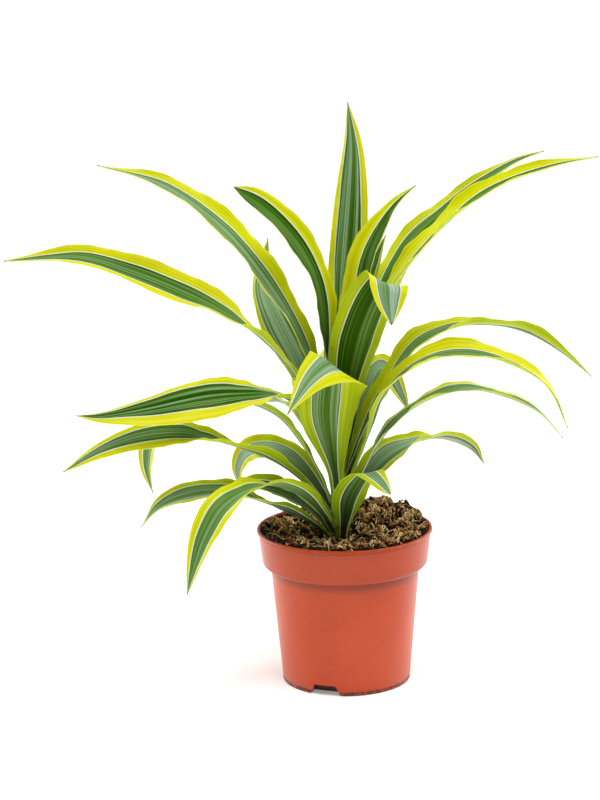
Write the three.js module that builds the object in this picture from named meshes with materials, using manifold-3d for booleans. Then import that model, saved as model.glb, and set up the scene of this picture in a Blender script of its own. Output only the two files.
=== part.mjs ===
// Potted dracaena: a moulded nursery pot filled with potting mix, a short stem that stands in
// it, and strap leaves with waved margins whose bases wrap the stem.
// Millimetres, +Z up. The origin is the middle of the pot's foot, on the ground.
// The leaves' azimuths are in degrees round the stem: 0 is +X, -90 is -Y, the front.

import * as THREE from "three";
import { mergeVertices } from "three/addons/utils/BufferGeometryUtils.js";
import Module from "manifold-3d";

const wasm = await Module();
wasm.setup();

// ---------------------------------------------------------------- driving dimensions

// What stays between pieces that touch.
const seat = 0.3;

// Pot: a 12 cm nursery pot, with a collar round its top and three drain notches at its foot.
const potHeight = 107;
const rimRadius = 60;
const collarDrop = 26;
const collarFootRadius = 56.7;
const collarRound = 4;
const waistRadius = 51;
const footRadius = 43.9;
const footBand = 1.8;
const crease = { depth: 0.4, width: 0.9 };
const edgeRound = 0.6;
const potWall = 1.3;
const lip = { height: 1.8, overhang: 0.9 };
const potSides = 44;
const notch = { count: 3, azimuth: -110, halfTop: 7.5, halfFoot: 11.5, height: 7.2, depth: 10 };
const drainSlot = { length: 9, width: 4, inset: 5.5, cut: 8 };

// Potting mix: its level by the stem and by the wall, and the heap behind the stem's right.
const soilLevel = 97;
const soilRise = 10;
// The heap, then smaller mounds and hollows: middle, height, and spread across and to the back.
const soilMounds = [
  [14, 24, 13, 30, 27],
  [33, 34, -4, 7, 8],
  [39, 20, 3.5, 9, 7],
  [20, 12, 3, 8, 7],
  [24, 45, 2.5, 6, 7],
  [44, 37, 3, 6, 7],
  [-42, 30, -3, 8, 9],
  [-34, 8, 2.5, 10, 8],
  [-14, -7, -2.5, 12, 10],
];
const soilLump = { height: 1.1, length: 17, finer: 1.7, finerShare: 0.6 };
const soilBrimRadius = 56.9;
const soilSides = 56;
const soilRings = 14;

// Stem: round and upright, tapering to the youngest leaves. Its foot stands in the mix.
const stem = { x: -4, y: 0, foot: 72, collarHeight: 96, top: 194, footRadius: 6.2, topRadius: 2.4 };
const stemRound = 1.4;
const stemSides = 20;

// Leaves: what every blade shares.
const bladeThickness = 0.7;
const bladeRootShare = 0.34;
const bladeTipHalf = 0.7;
const sheathShare = 0.3;
const sheathAngle = 0.9;
const marginWave = { height: 1.5, length: 52, phaseStep: 2.4, sideShift: 1.9, fade: 0.7, edge: 2.5 };
const bladeColumns = 4;
const foldedColumns = 8;
const stationSpacing = 14;
const bendWeight = 14;
const foldWeight = 2.5;
const fewestStations = 8;
const fineSteps = 160;

// One row for each leaf: name, greatest half width, azimuth and height of its root on the stem,
// the angle between midrib and margin of its gutter in degrees, the shares of its length where it
// begins to widen and where it is widest, how full it stays towards its tip, the points of its
// midrib after the root, each with the blade's twist in degrees, and any folds: how far along the
// blade each lies, its slant and angle in degrees, and its radius.
const leaves = [
  ["leaf_top", 13.6, 92, 187, 40, 0, 0.5, 2.2,
    [[-3, 12, 213, 0], [1, 19, 256, 0], [5, 26, 298, 0], [8, 31, 337, 0], [9, 35, 366, 0],
      [6, 38, 394, 0]]],
  ["leaf_upper_left", 11.5, 190, 181, 32, 0, 0.5, 7,
    [[-12, -3, 208, -20], [-11, -2, 245, -38], [-17, 3, 283, -50], [-31, 7, 308, -56],
      [-51, 9, 329, -58], [-71, 9, 342, -60]]],
  ["leaf_upper_right", 13.5, 5, 177, 42, 0, 0.5, 2.2,
    [[6, -1, 214, 25], [10, 0, 252, 40], [15, 5, 288, 45], [24, 12, 309, 42], [36, 18, 326, 38],
      [51, 22, 339, 30]]],
  ["leaf_front_curl_high", 17.5, -84, 170, 32, 0, 0.5, 4,
    [[1, -9, 195, 0], [5, -14, 222, 0], [12, -18, 250, 0], [22, -22, 273, 0], [36, -26, 290, 0],
      [52, -30, 304, 0]], [116, -14, 150, 5]],
  ["leaf_long_upper_left", 13.5, 165, 166, 42, 0, 0.5, 2.2,
    [[-16, 7, 205, -10], [-30, 14, 242, -20], [-53, 24, 279, -25], [-79, 36, 309, -25],
      [-120, 50, 337, -25], [-166, 58, 350, -20]]],
  ["leaf_behind_left", 14, 145, 151, 42, 0, 0.5, 2.2,
    [[-18, 17, 190, -20], [-34, 31, 220, -30], [-46, 43, 242, -40], [-54, 53, 261, -30],
      [-54, 60, 280, -10], [-50, 64, 297, 0]]],
  ["leaf_long_left", 13, 188, 157, 42, 0, 0.5, 2.2,
    [[-18, -3, 182, 10], [-34, -7, 218, 15], [-54, -12, 242, 10], [-80, -17, 263, -20],
      [-107, -20, 278, -50], [-140, -24, 293, -50], [-172, -26, 303, -45], [-223, -28, 301, -40]]],
  ["leaf_mid_left", 15.5, 212, 136, 34, 0, 0.6, 1.3,
    [[-12, -8, 160, 15], [-21, -14, 184, 20], [-31, -17, 198, 10], [-45, -25, 206, -5],
      [-62, -34, 208, -25], [-92, -47, 208, -58], [-130, -57, 204, -78], [-160, -62, 202, -80],
      [-176, -64, 204, -75]]],
  ["leaf_mid_left_droop", 12.5, 172, 124, 42, 0, 0.5, 3,
    [[-16, 5, 141, 10], [-29, 13, 163, 10], [-47, 24, 181, 5], [-78, 38, 188, -10],
      [-112, 46, 182, -45], [-132, 49, 162, -80], [-137, 50, 141, -85], [-134, 50, 119, -85]]],
  ["leaf_mid_left_back", 10.5, 152, 143, 42, 0, 0.5, 2.2,
    [[-15, 12, 154, 0], [-27, 28, 171, 0], [-40, 52, 181, 0], [-57, 78, 179, 0],
      [-73, 100, 168, 0]]],
  ["leaf_low_left", 11.5, 188, 112, 40, 0, 0.5, 2.2,
    [[-18, -13, 132, 20], [-35, -22, 152, 40], [-53, -31, 166, 48], [-77, -40, 177, 38],
      [-92, -43, 182, 14], [-108, -46, 186, -18], [-135, -51, 185, -42], [-160, -55, 178, -50],
      [-186, -58, 164, -50]]],
  ["leaf_left_loop", 10.5, 117, 115, 35, 0, 0.5, 2.2,
    [[-15, 13, 128, 0], [-27, 23, 142, 0], [-41, 35, 151, 0], [-55, 46, 152, -20],
      [-67, 54, 147, -55], [-74, 58, 135, -80], [-73, 57, 120, -80]]],
  ["leaf_lowest_left", 11.5, 215, 100, 40, 0, 0.5, 2.2,
    [[-20, -9, 111, 10], [-37, -14, 122, 10], [-56, -19, 131, -10], [-80, -25, 140, -40],
      [-104, -30, 140, -50], [-124, -34, 133, -50], [-137, -36, 119, -30]]],
  ["leaf_low_left_back", 11, 165, 103, 42, 0, 0.5, 2.2,
    [[-18, 1, 114, 0], [-32, 3, 125, 0], [-47, 4, 133, 0], [-64, 6, 135, 0], [-82, 8, 128, 0],
      [-91, 10, 114, 0]]],
  ["leaf_front_left_droop", 13, 238, 105, 36, 0, 0.5, 2.2,
    [[-15, -18, 122, 0], [-28, -30, 139, 5], [-45, -42, 149, 8], [-64, -55, 149, -18],
      [-81, -66, 141, -42], [-92, -76, 125, -50], [-99, -84, 107, -50], [-104, -90, 88, -40]]],
  ["leaf_front_curl", 23, -72, 107, 26, 0.2, 0.5, 1.8,
    [[-3, -12, 130, 0], [-6, -17, 160, 0], [-8, -24, 190, 0], [-6, -31, 216, 0], [-4, -38, 240, 0],
      [-2, -45, 266, 0], [1, -53, 295, 0]], [116, 44, 95, 7], [132, -30, 65, 30]],
  ["leaf_front_curl_low", 13, -66, 101, 16, 0, 0.5, 2.2,
    [[1, -14, 117, 0], [4, -24, 134, 0], [12, -33, 150, 0], [23, -38, 162, 0], [35, -42, 169, 0]],
      [62, -20, 85, 4], [74, -30, 80, 10]],
  ["leaf_long_upper_right", 13, -4, 160, 42, 0, 0.5, 2.2,
    [[7, 2, 186, 5], [13, 4, 223, 10], [27, 5, 258, 15], [46, 8, 288, 15], [69, 11, 313, 15],
      [98, 14, 336, 25], [137, 16, 351, 30], [173, 14, 358, 20]]],
  ["leaf_upper_right_back", 12, 42, 148, 42, 0, 0.5, 2.2,
    [[8, 12, 185, 10], [17, 26, 228, 15], [31, 42, 264, 15], [48, 57, 292, 10], [71, 70, 311, 10],
      [97, 80, 330, 10], [121, 88, 343, 10], [142, 92, 350, 0]]],
  ["leaf_right_arch_high", 13, 15, 143, 42, 0, 0.5, 2.2,
    [[8, 3, 162, 12], [21, 8, 190, 20], [36, 14, 213, 15], [52, 19, 231, 10], [74, 25, 240, 4],
      [98, 28, 241, -14], [125, 30, 236, -28], [150, 31, 221, -30], [171, 31, 203, -25]]],
  ["leaf_right_arch_front", 12, -10, 134, 42, 0, 0.5, 2.2,
    [[10, -6, 155, 5], [20, -12, 182, -3], [31, -21, 210, 0], [55, -27, 230, 12],
      [81, -32, 236, 10], [109, -36, 230, 0], [135, -40, 214, -12], [149, -44, 186, -14]]],
  ["leaf_right_arch_mid", 8.5, 0, 118, 42, 0, 0.5, 2.2,
    [[8, -2, 136, 0], [18, -3, 156, 0], [34, -5, 180, 0], [56, -7, 197, 0], [84, -9, 205, -2],
      [110, -12, 200, -8], [132, -14, 189, -8], [148, -16, 172, -8]]],
  ["leaf_right_arch_low", 13.5, 40, 105, 40, 0, 0.5, 2.2,
    [[7, 12, 123, 15], [18, 22, 139, 25], [32, 34, 150, 22], [52, 46, 155, -6], [73, 56, 154, -28],
      [89, 62, 146, -30], [99, 64, 133, -20]]],
  ["leaf_right_curl_back", 10, 48, 130, 30, 0, 0.5, 2.2,
    [[9, 11, 158, 0], [14, 22, 188, 20], [20, 30, 206, 50], [26, 35, 212, 75], [33, 38, 205, 90],
      [40, 40, 191, 95], [46, 40, 177, 90]]],
  ["leaf_inner_back", 9, 62, 166, 42, 0, 0.5, 2.2,
    [[1, 13, 200, 10], [8, 21, 236, 15], [16, 28, 266, 15], [24, 33, 287, 15], [31, 37, 303, 10]]],
  ["leaf_back_high", 10.5, 110, 160, 42, 0, 0.5, 2.2,
    [[-3, 18, 196, 0], [0, 40, 234, 0], [3, 68, 268, 0], [4, 102, 288, 0], [4, 138, 291, 0],
      [5, 170, 278, 0]]],
  ["leaf_back_right", 13, 80, 138, 42, 0, 0.5, 2.2,
    [[-2, 24, 170, 0], [1, 50, 200, 0], [6, 82, 221, 0], [10, 120, 224, 0], [13, 154, 208, 0],
      [14, 182, 180, 0]]],
  ["leaf_back_left", 13, 95, 121, 42, 0, 0.5, 2.2,
    [[-6, 22, 148, 0], [-9, 46, 177, 0], [-16, 80, 198, 0], [-24, 116, 198, 0], [-31, 150, 180, 0],
      [-35, 172, 156, 0]]],
  ["leaf_back_low", 12, 80, 108, 42, 0, 0.5, 2.2,
    [[-3, 22, 132, 0], [-4, 46, 152, 0], [-6, 82, 167, 0], [-7, 118, 162, 0], [-8, 148, 142, 0],
      [-8, 168, 112, 0]]],
];

// ---------------------------------------------------------------- solids and meshes

// A closed geometry as a solid that can be joined and cut.
function solidOf(geometry) {
  const bare = new THREE.BufferGeometry();
  const source = geometry.index ? geometry.toNonIndexed() : geometry;
  bare.setAttribute("position", source.getAttribute("position"));
  const merged = mergeVertices(bare, 1e-4);
  return new wasm.Manifold(
    new wasm.Mesh({
      numProp: 3,
      vertProperties: merged.attributes.position.array,
      triVerts: new Uint32Array(merged.index.array),
    }),
  );
}

// A solid as a geometry again.
function geometryOf(solid) {
  const { vertProperties, triVerts } = solid.getMesh();
  const geometry = new THREE.BufferGeometry();
  geometry.setAttribute("position", new THREE.BufferAttribute(vertProperties, 3));
  geometry.setIndex(new THREE.BufferAttribute(triVerts, 1));
  geometry.computeVertexNormals();
  return geometry;
}

// A profile of [radius, height] points turned round +Z.
function turned(profile, sides) {
  const points = profile.map(([r, z]) => new THREE.Vector2(r, z));
  return new THREE.LatheGeometry(points, sides).rotateX(Math.PI / 2);
}

function named(name, geometry, color, roughness) {
  const mesh = new THREE.Mesh(
    geometry,
    new THREE.MeshStandardMaterial({ color, roughness, metalness: 0 }),
  );
  mesh.name = name;
  return mesh;
}

const smooth = (t) => THREE.MathUtils.smoothstep(t, 0, 1);
const { lerp, degToRad } = THREE.MathUtils;

// ---------------------------------------------------------------- pot

const collarFoot = potHeight - collarDrop;

// The quarter round of the collar's underside, or of the wall's inside over it, going outwards.
function collarUnderside(inset) {
  return [0, 30, 60, 90].map((degrees) => [
    lerp(waistRadius, collarFootRadius, Math.sin(degToRad(degrees))) - inset,
    collarFoot + collarRound * (1 - Math.cos(degToRad(degrees))) + inset,
  ]);
}

// The outside of the pot from its foot up to the lip.
const outsideProfile = [
  [footRadius - edgeRound, 0],
  [footRadius, edgeRound],
  [footRadius, footBand],
  [footRadius - crease.depth, footBand + crease.width / 3],
  [footRadius, footBand + crease.width],
  ...collarUnderside(0),
  [rimRadius - lip.overhang, potHeight - lip.height - crease.depth],
  [rimRadius, potHeight - lip.height],
  [rimRadius, potHeight - edgeRound],
  [rimRadius - edgeRound, potHeight],
];

// The inside of the pot, from the lip down to the floor, one wall in from the outside.
const insideTop = [
  [rimRadius - lip.overhang - potWall + edgeRound / 2, potHeight],
  [rimRadius - lip.overhang - potWall, potHeight - edgeRound],
];
const insideWall = [
  ...collarUnderside(potWall).reverse(),
  [footRadius - potWall, 2 * potWall],
  [footRadius - 2 * potWall, potWall],
];

// A drain pocket's trapezoid, grown by one wall or by nothing, run out from the pot's middle.
function drainPocket(azimuth, grow, from, to) {
  const half = [notch.halfFoot + grow, notch.halfTop + grow];
  const top = notch.height + grow;
  const shape = new THREE.Shape();
  shape.moveTo(-half[0], -1);
  shape.lineTo(half[0], -1);
  shape.lineTo(half[1], top);
  shape.lineTo(-half[1], top);
  shape.closePath();
  const prism = new THREE.ExtrudeGeometry(shape, { depth: to - from, bevelEnabled: false });
  prism.translate(0, 0, from).rotateX(Math.PI / 2).rotateZ(Math.PI);
  return solidOf(prism.rotateZ(degToRad(azimuth - 90)));
}

// The slot in a pocket's roof that lets the water out.
function drainSlotCutter(azimuth) {
  const slot = new THREE.BoxGeometry(drainSlot.length, drainSlot.width, drainSlot.cut);
  slot.translate(0, footRadius - drainSlot.inset, notch.height);
  return solidOf(slot.rotateZ(degToRad(azimuth - 90)));
}

const notchAzimuths = Array.from(
  { length: notch.count },
  (_, i) => notch.azimuth + (360 / notch.count) * i,
);

function potSolid() {
  const outside = solidOf(turned([[0, 0], ...outsideProfile, [0, potHeight]], potSides));
  const section = [[0, 0], ...outsideProfile, ...insideTop, ...insideWall, [0, potWall]];
  let pot = solidOf(turned(section, potSides));
  const inner = footRadius - notch.depth;
  for (const azimuth of notchAzimuths) {
    pot = pot
      .add(drainPocket(azimuth, potWall, inner - potWall, footRadius).intersect(outside))
      .subtract(drainPocket(azimuth, 0, inner, rimRadius))
      .subtract(drainSlotCutter(azimuth));
  }
  return pot;
}

// ---------------------------------------------------------------- potting mix

function soilTop(x, y) {
  const reach = Math.hypot(x, y) / rimRadius;
  let mounds = 0;
  for (const [mx, my, height, spreadX, spreadY] of soilMounds)
    mounds += height * Math.exp(-(((x - mx) / spreadX) ** 2) - ((y - my) / spreadY) ** 2);
  const turn = (2 * Math.PI) / soilLump.length;
  const finer = soilLump.finerShare * Math.sin(turn * soilLump.finer * (y - x));
  const lumps = Math.sin(turn * x) * Math.sin(turn * y) + finer;
  return soilLevel + soilRise * reach * reach + mounds + soilLump.height * lumps;
}

// A turned block with its flat top, from the wall's brim inwards, raised to the mix's surface.
function soilSolid() {
  const wall = insideWall.map(([r, z]) => [r - seat, z + seat]).reverse();
  const flat = soilLevel + soilRise;
  const ring = (_, i) => [soilBrimRadius * (1 - i / soilRings), flat];
  const rings = Array.from({ length: soilRings }, ring);
  const profile = [[0, potWall + seat], ...wall, ...rings, [0, flat]];
  const block = turned(profile, soilSides);
  const position = block.getAttribute("position");
  for (let i = 0; i < position.count; i++) {
    if (Math.abs(position.getZ(i) - flat) > 1e-3) continue;
    position.setZ(i, soilTop(position.getX(i), position.getY(i)));
  }
  let soil = solidOf(block);
  for (const azimuth of notchAzimuths) {
    const grow = potWall + seat;
    soil = soil.subtract(drainPocket(azimuth, grow, footRadius - notch.depth - grow, rimRadius));
  }
  return soil.subtract(solidOf(stemGeometry(seat)));
}

// ---------------------------------------------------------------- stem

function stemRadius(z) {
  const t = THREE.MathUtils.clamp((z - stem.collarHeight) / (stem.top - stem.collarHeight), 0, 1);
  return lerp(stem.footRadius, stem.topRadius, t);
}

// The stem, or with grow the hole that it stands in.
function stemGeometry(grow) {
  const { foot, collarHeight, top, footRadius: low, topRadius: high } = stem;
  const profile = [
    [0, foot - grow],
    [low - stemRound + grow, foot - grow],
    [low + grow, foot + stemRound - grow],
    [low + grow, collarHeight],
    [high + grow, top],
    [high / 2 + grow, top + stemRound],
    [0, top + stemRound + grow],
  ];
  return turned(profile, stemSides).translate(stem.x, stem.y, 0);
}

// ---------------------------------------------------------------- leaves

// The blade's width from its root to its tip, as a share of its greatest width.
function widthShare(t, rootShare, neck, widest, fullness) {
  const rise = smooth(THREE.MathUtils.clamp((t - neck) / (widest - neck), 0, 1));
  const past = Math.max(0, (t - widest) / (1 - widest));
  return lerp(rootShare, 1, rise) * (1 - past ** fullness);
}

// Points and frames along a leaf's midrib. A frame's face is the way the upper side looks and
// its side runs across the blade. The frame turns with the midrib and adds the leaf's own twist.
function midrib([, , azimuth, rootHeight, , , , , path]) {
  const out = new THREE.Vector3(Math.cos(degToRad(azimuth)), Math.sin(degToRad(azimuth)), 0);
  const rootRadius = stemRadius(rootHeight) + seat + bladeThickness / 2;
  const root = new THREE.Vector3(stem.x, stem.y, rootHeight).addScaledVector(out, rootRadius);
  const knots = [root, ...path.map(([x, y, z]) => new THREE.Vector3(x, y, z))];
  const twists = [0, ...path.map((point) => degToRad(point[3]))];
  const curve = new THREE.CatmullRomCurve3(knots, false, "centripetal");
  const points = curve.getPoints(fineSteps);
  const along = [0];
  for (let i = 1; i <= fineSteps; i++) along.push(along[i - 1] + points[i].distanceTo(points[i - 1]));
  const tangents = points.map((_, i) =>
    new THREE.Vector3()
      .subVectors(points[Math.min(i + 1, fineSteps)], points[Math.max(i - 1, 0)])
      .normalize(),
  );
  let face = out.clone().negate();
  face.addScaledVector(tangents[0], -face.dot(tangents[0])).normalize();
  return points.map((point, i) => {
    if (i > 0) face = carried(face, points[i - 1], point, tangents[i - 1], tangents[i]);
    const place = (i / fineSteps) * (twists.length - 1);
    const knot = Math.min(Math.floor(place), twists.length - 2);
    const twist = lerp(twists[knot], twists[knot + 1], smooth(place - knot));
    const across = new THREE.Vector3().crossVectors(tangents[i], face);
    return {
      point,
      reach: along[i],
      share: along[i] / along[fineSteps],
      face: face.clone().multiplyScalar(Math.cos(twist)).addScaledVector(across, Math.sin(twist)),
      side: across.clone().multiplyScalar(Math.cos(twist)).addScaledVector(face, -Math.sin(twist)),
      bend: i > 0 ? tangents[i].angleTo(tangents[i - 1]) : 0,
    };
  });
}

// A frame's direction carried to the next point of a curve without turning round the curve.
function carried(direction, from, to, tangentFrom, tangentTo) {
  const step = new THREE.Vector3().subVectors(to, from);
  const flip = (v, axis) => v.clone().addScaledVector(axis, (-2 * v.dot(axis)) / axis.lengthSq());
  const turnedTangent = flip(tangentFrom, step);
  const turnedDirection = flip(direction, step);
  const rest = new THREE.Vector3().subVectors(tangentTo, turnedTangent);
  return rest.lengthSq() < 1e-12 ? turnedDirection : flip(turnedDirection, rest).normalize();
}

// How far along the blade a fold begins and ends.
function foldSpan([at, slant, angle, radius], halfWidth) {
  const slanted = halfWidth * Math.abs(Math.tan(degToRad(slant)));
  return [at - slanted, at + radius * degToRad(angle) + slanted];
}

// The numbers of the frames that the blade's stations stand on: closer together where it bends
// and where it is folded.
function stations(frames, spans) {
  const weights = [0];
  for (let i = 1; i < frames.length; i++) {
    const { reach, bend } = frames[i];
    const step = reach - frames[i - 1].reach;
    const folded = spans.some(([from, to]) => reach > from && reach < to);
    weights.push(weights[i - 1] + step * (folded ? 1 + foldWeight : 1) + bendWeight * bend);
  }
  const total = weights[weights.length - 1];
  const count = Math.max(fewestStations, Math.round(total / stationSpacing));
  const places = Array.from({ length: count + 1 }, (_, k) => (total * k) / count);
  return places.map((place) => Math.max(0, weights.findIndex((w) => w >= place - 1e-6)));
}

// The ripple of a blade's margins at a place along it, as a share across it: -1 and 1 are the
// margins. It fades towards the root, the tip and the midrib.
function ripple(reach, share, across, phase) {
  const { height, length, sideShift, fade, edge } = marginWave;
  const shift = across > 0 ? sideShift : 0;
  const turn = (2 * Math.PI * reach) / length + phase + shift;
  return height * Math.sin(Math.PI * share) ** fade * Math.abs(across) ** edge * Math.sin(turn);
}

// Rolls what lies past a slanting line across the blade over towards its under side.
function foldOver(rows, fold, halfWidth) {
  const [at, slant, angle, radius] = fold;
  const i = rows.findIndex(({ reach }) => reach >= at);
  const centre = (rows[i].upper.length - 1) / 2;
  const line = (row, face) => rows[row][face][centre].clone();
  const start = line(i, "upper").add(line(i, "lower")).multiplyScalar(0.5);
  const along = line(i + 1, "upper").sub(line(i - 1, "upper")).normalize();
  const face = line(i, "upper").sub(line(i, "lower"));
  face.addScaledVector(along, -face.dot(along)).normalize();
  const side = new THREE.Vector3().crossVectors(along, face);
  const [cos, sin] = [Math.cos(degToRad(slant)), Math.sin(degToRad(slant))];
  const axis = side.clone().multiplyScalar(cos).addScaledVector(along, sin);
  const beyond = along.clone().multiplyScalar(cos).addScaledVector(side, -sin);
  const [from] = foldSpan(fold, halfWidth);
  for (const { reach, upper, lower } of rows) {
    for (const point of reach > from ? [...upper, ...lower] : []) {
      const away = point.clone().sub(start);
      const past = Math.max(0, away.dot(beyond));
      const turn = Math.min(past / radius, degToRad(angle));
      const rest = past - radius * turn;
      const arm = radius + away.dot(face);
      const ahead = arm * Math.sin(turn) + rest * Math.cos(turn);
      const under = radius - arm * Math.cos(turn) + rest * Math.sin(turn);
      if (past === 0) continue;
      point.copy(start).addScaledVector(axis, away.dot(axis));
      point.addScaledVector(beyond, ahead).addScaledVector(face, -under);
    }
  }
}

// A blade: a thin sheet swept along its midrib, its section an arc that wraps the stem at the
// root and opens to a gutter further out, then folded.
function bladeGeometry(leaf, order) {
  const [, halfWidth, , rootHeight, gutter, neck, widest, fullness, , ...folds] = leaf;
  const columns = folds.length > 0 ? foldedColumns : bladeColumns;
  const rootRadius = stemRadius(rootHeight) + seat + bladeThickness / 2;
  const rootShare = Math.min(bladeRootShare, (sheathAngle * rootRadius) / halfWidth);
  const rootAngle = (halfWidth * rootShare) / rootRadius;
  const phase = order * marginWave.phaseStep;
  const frames = midrib(leaf);
  const rows = frames.map(({ point, reach, share, face, side }) => {
    const width = widthShare(share, rootShare, neck, widest, fullness);
    const half = Math.max(bladeTipHalf, halfWidth * width);
    const opened = smooth(Math.min(1, share / sheathShare));
    const edgeAngle = lerp(rootAngle, degToRad(gutter), opened);
    const radius = half / edgeAngle;
    const row = { reach, upper: [], lower: [] };
    for (let j = 0; j <= columns; j++) {
      const across = (2 * j) / columns - 1;
      const angle = edgeAngle * across;
      const raised = radius * (1 - Math.cos(angle)) + ripple(reach, share, across, phase);
      const middle = point.clone().addScaledVector(side, radius * Math.sin(angle));
      middle.addScaledVector(face, raised);
      const normal = face.clone().multiplyScalar(Math.cos(angle));
      normal.addScaledVector(side, -Math.sin(angle));
      row.upper.push(middle.clone().addScaledVector(normal, bladeThickness / 2));
      row.lower.push(middle.clone().addScaledVector(normal, -bladeThickness / 2));
    }
    return row;
  });
  for (const fold of folds) foldOver(rows, fold, halfWidth);
  const spans = folds.map((fold) => foldSpan(fold, halfWidth));
  const kept = stations(frames, spans).map((i) => rows[i]);
  const upper = kept.flatMap((row) => row.upper);
  const lower = kept.flatMap((row) => row.lower);
  return closedBlade(upper, lower, columns + 1);
}

// Two like grids of points, an upper and a lower face, closed along their four edges.
function closedBlade(upper, lower, columns) {
  const rows = upper.length / columns;
  const under = upper.length;
  const index = [];
  const quad = (a, b, c, d) => index.push(a, b, c, a, c, d);
  for (let i = 0; i + 1 < rows; i++) {
    const row = i * columns;
    const next = row + columns;
    for (let j = 0; j + 1 < columns; j++) {
      quad(row + j, row + j + 1, next + j + 1, next + j);
      index.push(under + row + j, under + next + j + 1, under + row + j + 1);
      index.push(under + row + j, under + next + j, under + next + j + 1);
    }
    const last = columns - 1;
    quad(row, next, under + next, under + row);
    quad(row + last, under + row + last, under + next + last, next + last);
  }
  const tip = (rows - 1) * columns;
  for (let j = 0; j + 1 < columns; j++) {
    quad(j + 1, j, under + j, under + j + 1);
    quad(tip + j, tip + j + 1, under + tip + j + 1, under + tip + j);
  }
  const geometry = new THREE.BufferGeometry().setFromPoints([...upper, ...lower]);
  geometry.setIndex(index);
  geometry.computeVertexNormals();
  return geometry;
}

// ---------------------------------------------------------------- the part

const pottedDracaena = new THREE.Group();
pottedDracaena.add(
  named("pot", geometryOf(potSolid()), "#c65a3a", 0.5),
  named("soil", geometryOf(soilSolid()), "#4a3423", 0.95),
  named("stem", stemGeometry(0), "#7d9a3c", 0.6),
  ...leaves.map((leaf, order) => named(leaf[0], bladeGeometry(leaf, order), "#6f9a2e", 0.45)),
);

export default pottedDracaena;
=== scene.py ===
import math
import random
from functools import partial
from math import cos, hypot, pi, radians, sin, sqrt

import bpy
import numpy as np
from mathutils import Matrix, Vector, noise


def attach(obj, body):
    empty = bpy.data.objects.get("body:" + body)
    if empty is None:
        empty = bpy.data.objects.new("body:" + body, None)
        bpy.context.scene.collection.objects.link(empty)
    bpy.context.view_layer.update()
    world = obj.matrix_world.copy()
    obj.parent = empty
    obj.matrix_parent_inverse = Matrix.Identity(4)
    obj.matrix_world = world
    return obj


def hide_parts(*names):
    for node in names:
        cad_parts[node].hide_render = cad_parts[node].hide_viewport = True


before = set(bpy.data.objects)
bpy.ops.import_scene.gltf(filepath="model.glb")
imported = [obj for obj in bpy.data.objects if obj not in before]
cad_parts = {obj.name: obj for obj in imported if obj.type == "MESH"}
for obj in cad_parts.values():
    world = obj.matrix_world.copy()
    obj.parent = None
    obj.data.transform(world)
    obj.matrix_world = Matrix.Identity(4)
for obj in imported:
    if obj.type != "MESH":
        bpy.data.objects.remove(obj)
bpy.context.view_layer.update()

MM = 0.001
SEED = 5

# -------- camera

# Where the photograph was taken from: a target on the plant's axis, the pixel that shows it, and
# the camera's distance, elevation, roll and focal length in pixels of the 600 x 800 frame.
TARGET = Vector((0, 0, 100 * MM))
TARGET_PIXEL = (344.7, 536.8)
DISTANCE = 2056.6 * MM
ELEVATION = radians(16.385)
ROLL = radians(0.77)
FOCAL_PIXELS = 3000
FRAME = (600, 800)
SENSOR_MM = 36


def linked(name, data):
    """An object with that data, in the scene."""
    made = bpy.data.objects.new(name, data)
    bpy.context.scene.collection.objects.link(made)
    return made


def add_camera():
    data = bpy.data.cameras.new("photo_camera")
    data.sensor_width = SENSOR_MM
    data.lens = FOCAL_PIXELS / max(FRAME) * SENSOR_MM
    camera = linked("photo_camera", data)
    away = Vector((0, -cos(ELEVATION), sin(ELEVATION)))
    right = Vector((1, 0, 0))
    up = away.cross(right)
    rolled_right = right * cos(ROLL) - up * sin(ROLL)
    rolled_up = up * cos(ROLL) + right * sin(ROLL)
    facing = Matrix((rolled_right, rolled_up, away)).transposed()
    x, y = TARGET_PIXEL[0] - FRAME[0] / 2, FRAME[1] / 2 - TARGET_PIXEL[1]
    sight = Vector((x / FOCAL_PIXELS, y / FOCAL_PIXELS, -1))
    turn = sight.rotation_difference(Vector((0, 0, -1))).to_matrix()
    camera.matrix_world = Matrix.Translation(TARGET + away * DISTANCE) @ (facing @ turn).to_4x4()
    bpy.context.scene.camera = camera


# -------- material helpers


def linear(hex_colour):
    """An sRGB hex colour as linear RGBA."""
    channels = [int(hex_colour[i : i + 2], 16) / 255 for i in (1, 3, 5)]
    return tuple(c / 12.92 if c <= 0.04045 else ((c + 0.055) / 1.055) ** 2.4 for c in channels) + (1,)


def new_material(name):
    """A material, and the function that adds a node to it."""
    material = bpy.data.materials.new(name)
    material.use_nodes = True
    material.node_tree.nodes.clear()
    return material, partial(add_node, material.node_tree)


def add_node(tree, kind, inputs=None, stops=None, out=0, **settings):
    """Adds a node of that kind with its settings, its sockets' values or links and a ramp's
    stops. Returns its output, the first unless out names another."""
    made = tree.nodes.new("ShaderNode" + kind)
    for name, value in settings.items():
        setattr(made, name, value)
    for name, value in (inputs or {}).items():
        if isinstance(value, bpy.types.NodeSocket):
            tree.links.new(value, made.inputs[name])
        else:
            made.inputs[name].default_value = value
    if stops:
        elements = made.color_ramp.elements
        while len(elements) < len(stops):
            elements.new(1)
        for element, (place, colour) in zip(elements, stops):
            element.position = place
            element.color = linear(colour) if isinstance(colour, str) else (colour,) * 3 + (1,)
    return made.outputs[out] if made.outputs else None


def covered(node, colour, layers):
    """A colour socket under layers, each a value, where it starts, where it is full, how much of
    what is below it then hides, and its colour."""
    for value, start, full, most, over in layers:
        share = {"Value": value, "From Min": start, "From Max": full, "To Max": most}
        over = linear(over) if isinstance(over, str) else over
        mixed = {"Factor": node("MapRange", share), 6: colour, 7: over}
        colour = node("Mix", mixed, data_type="RGBA", out=2)
    return colour


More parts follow.
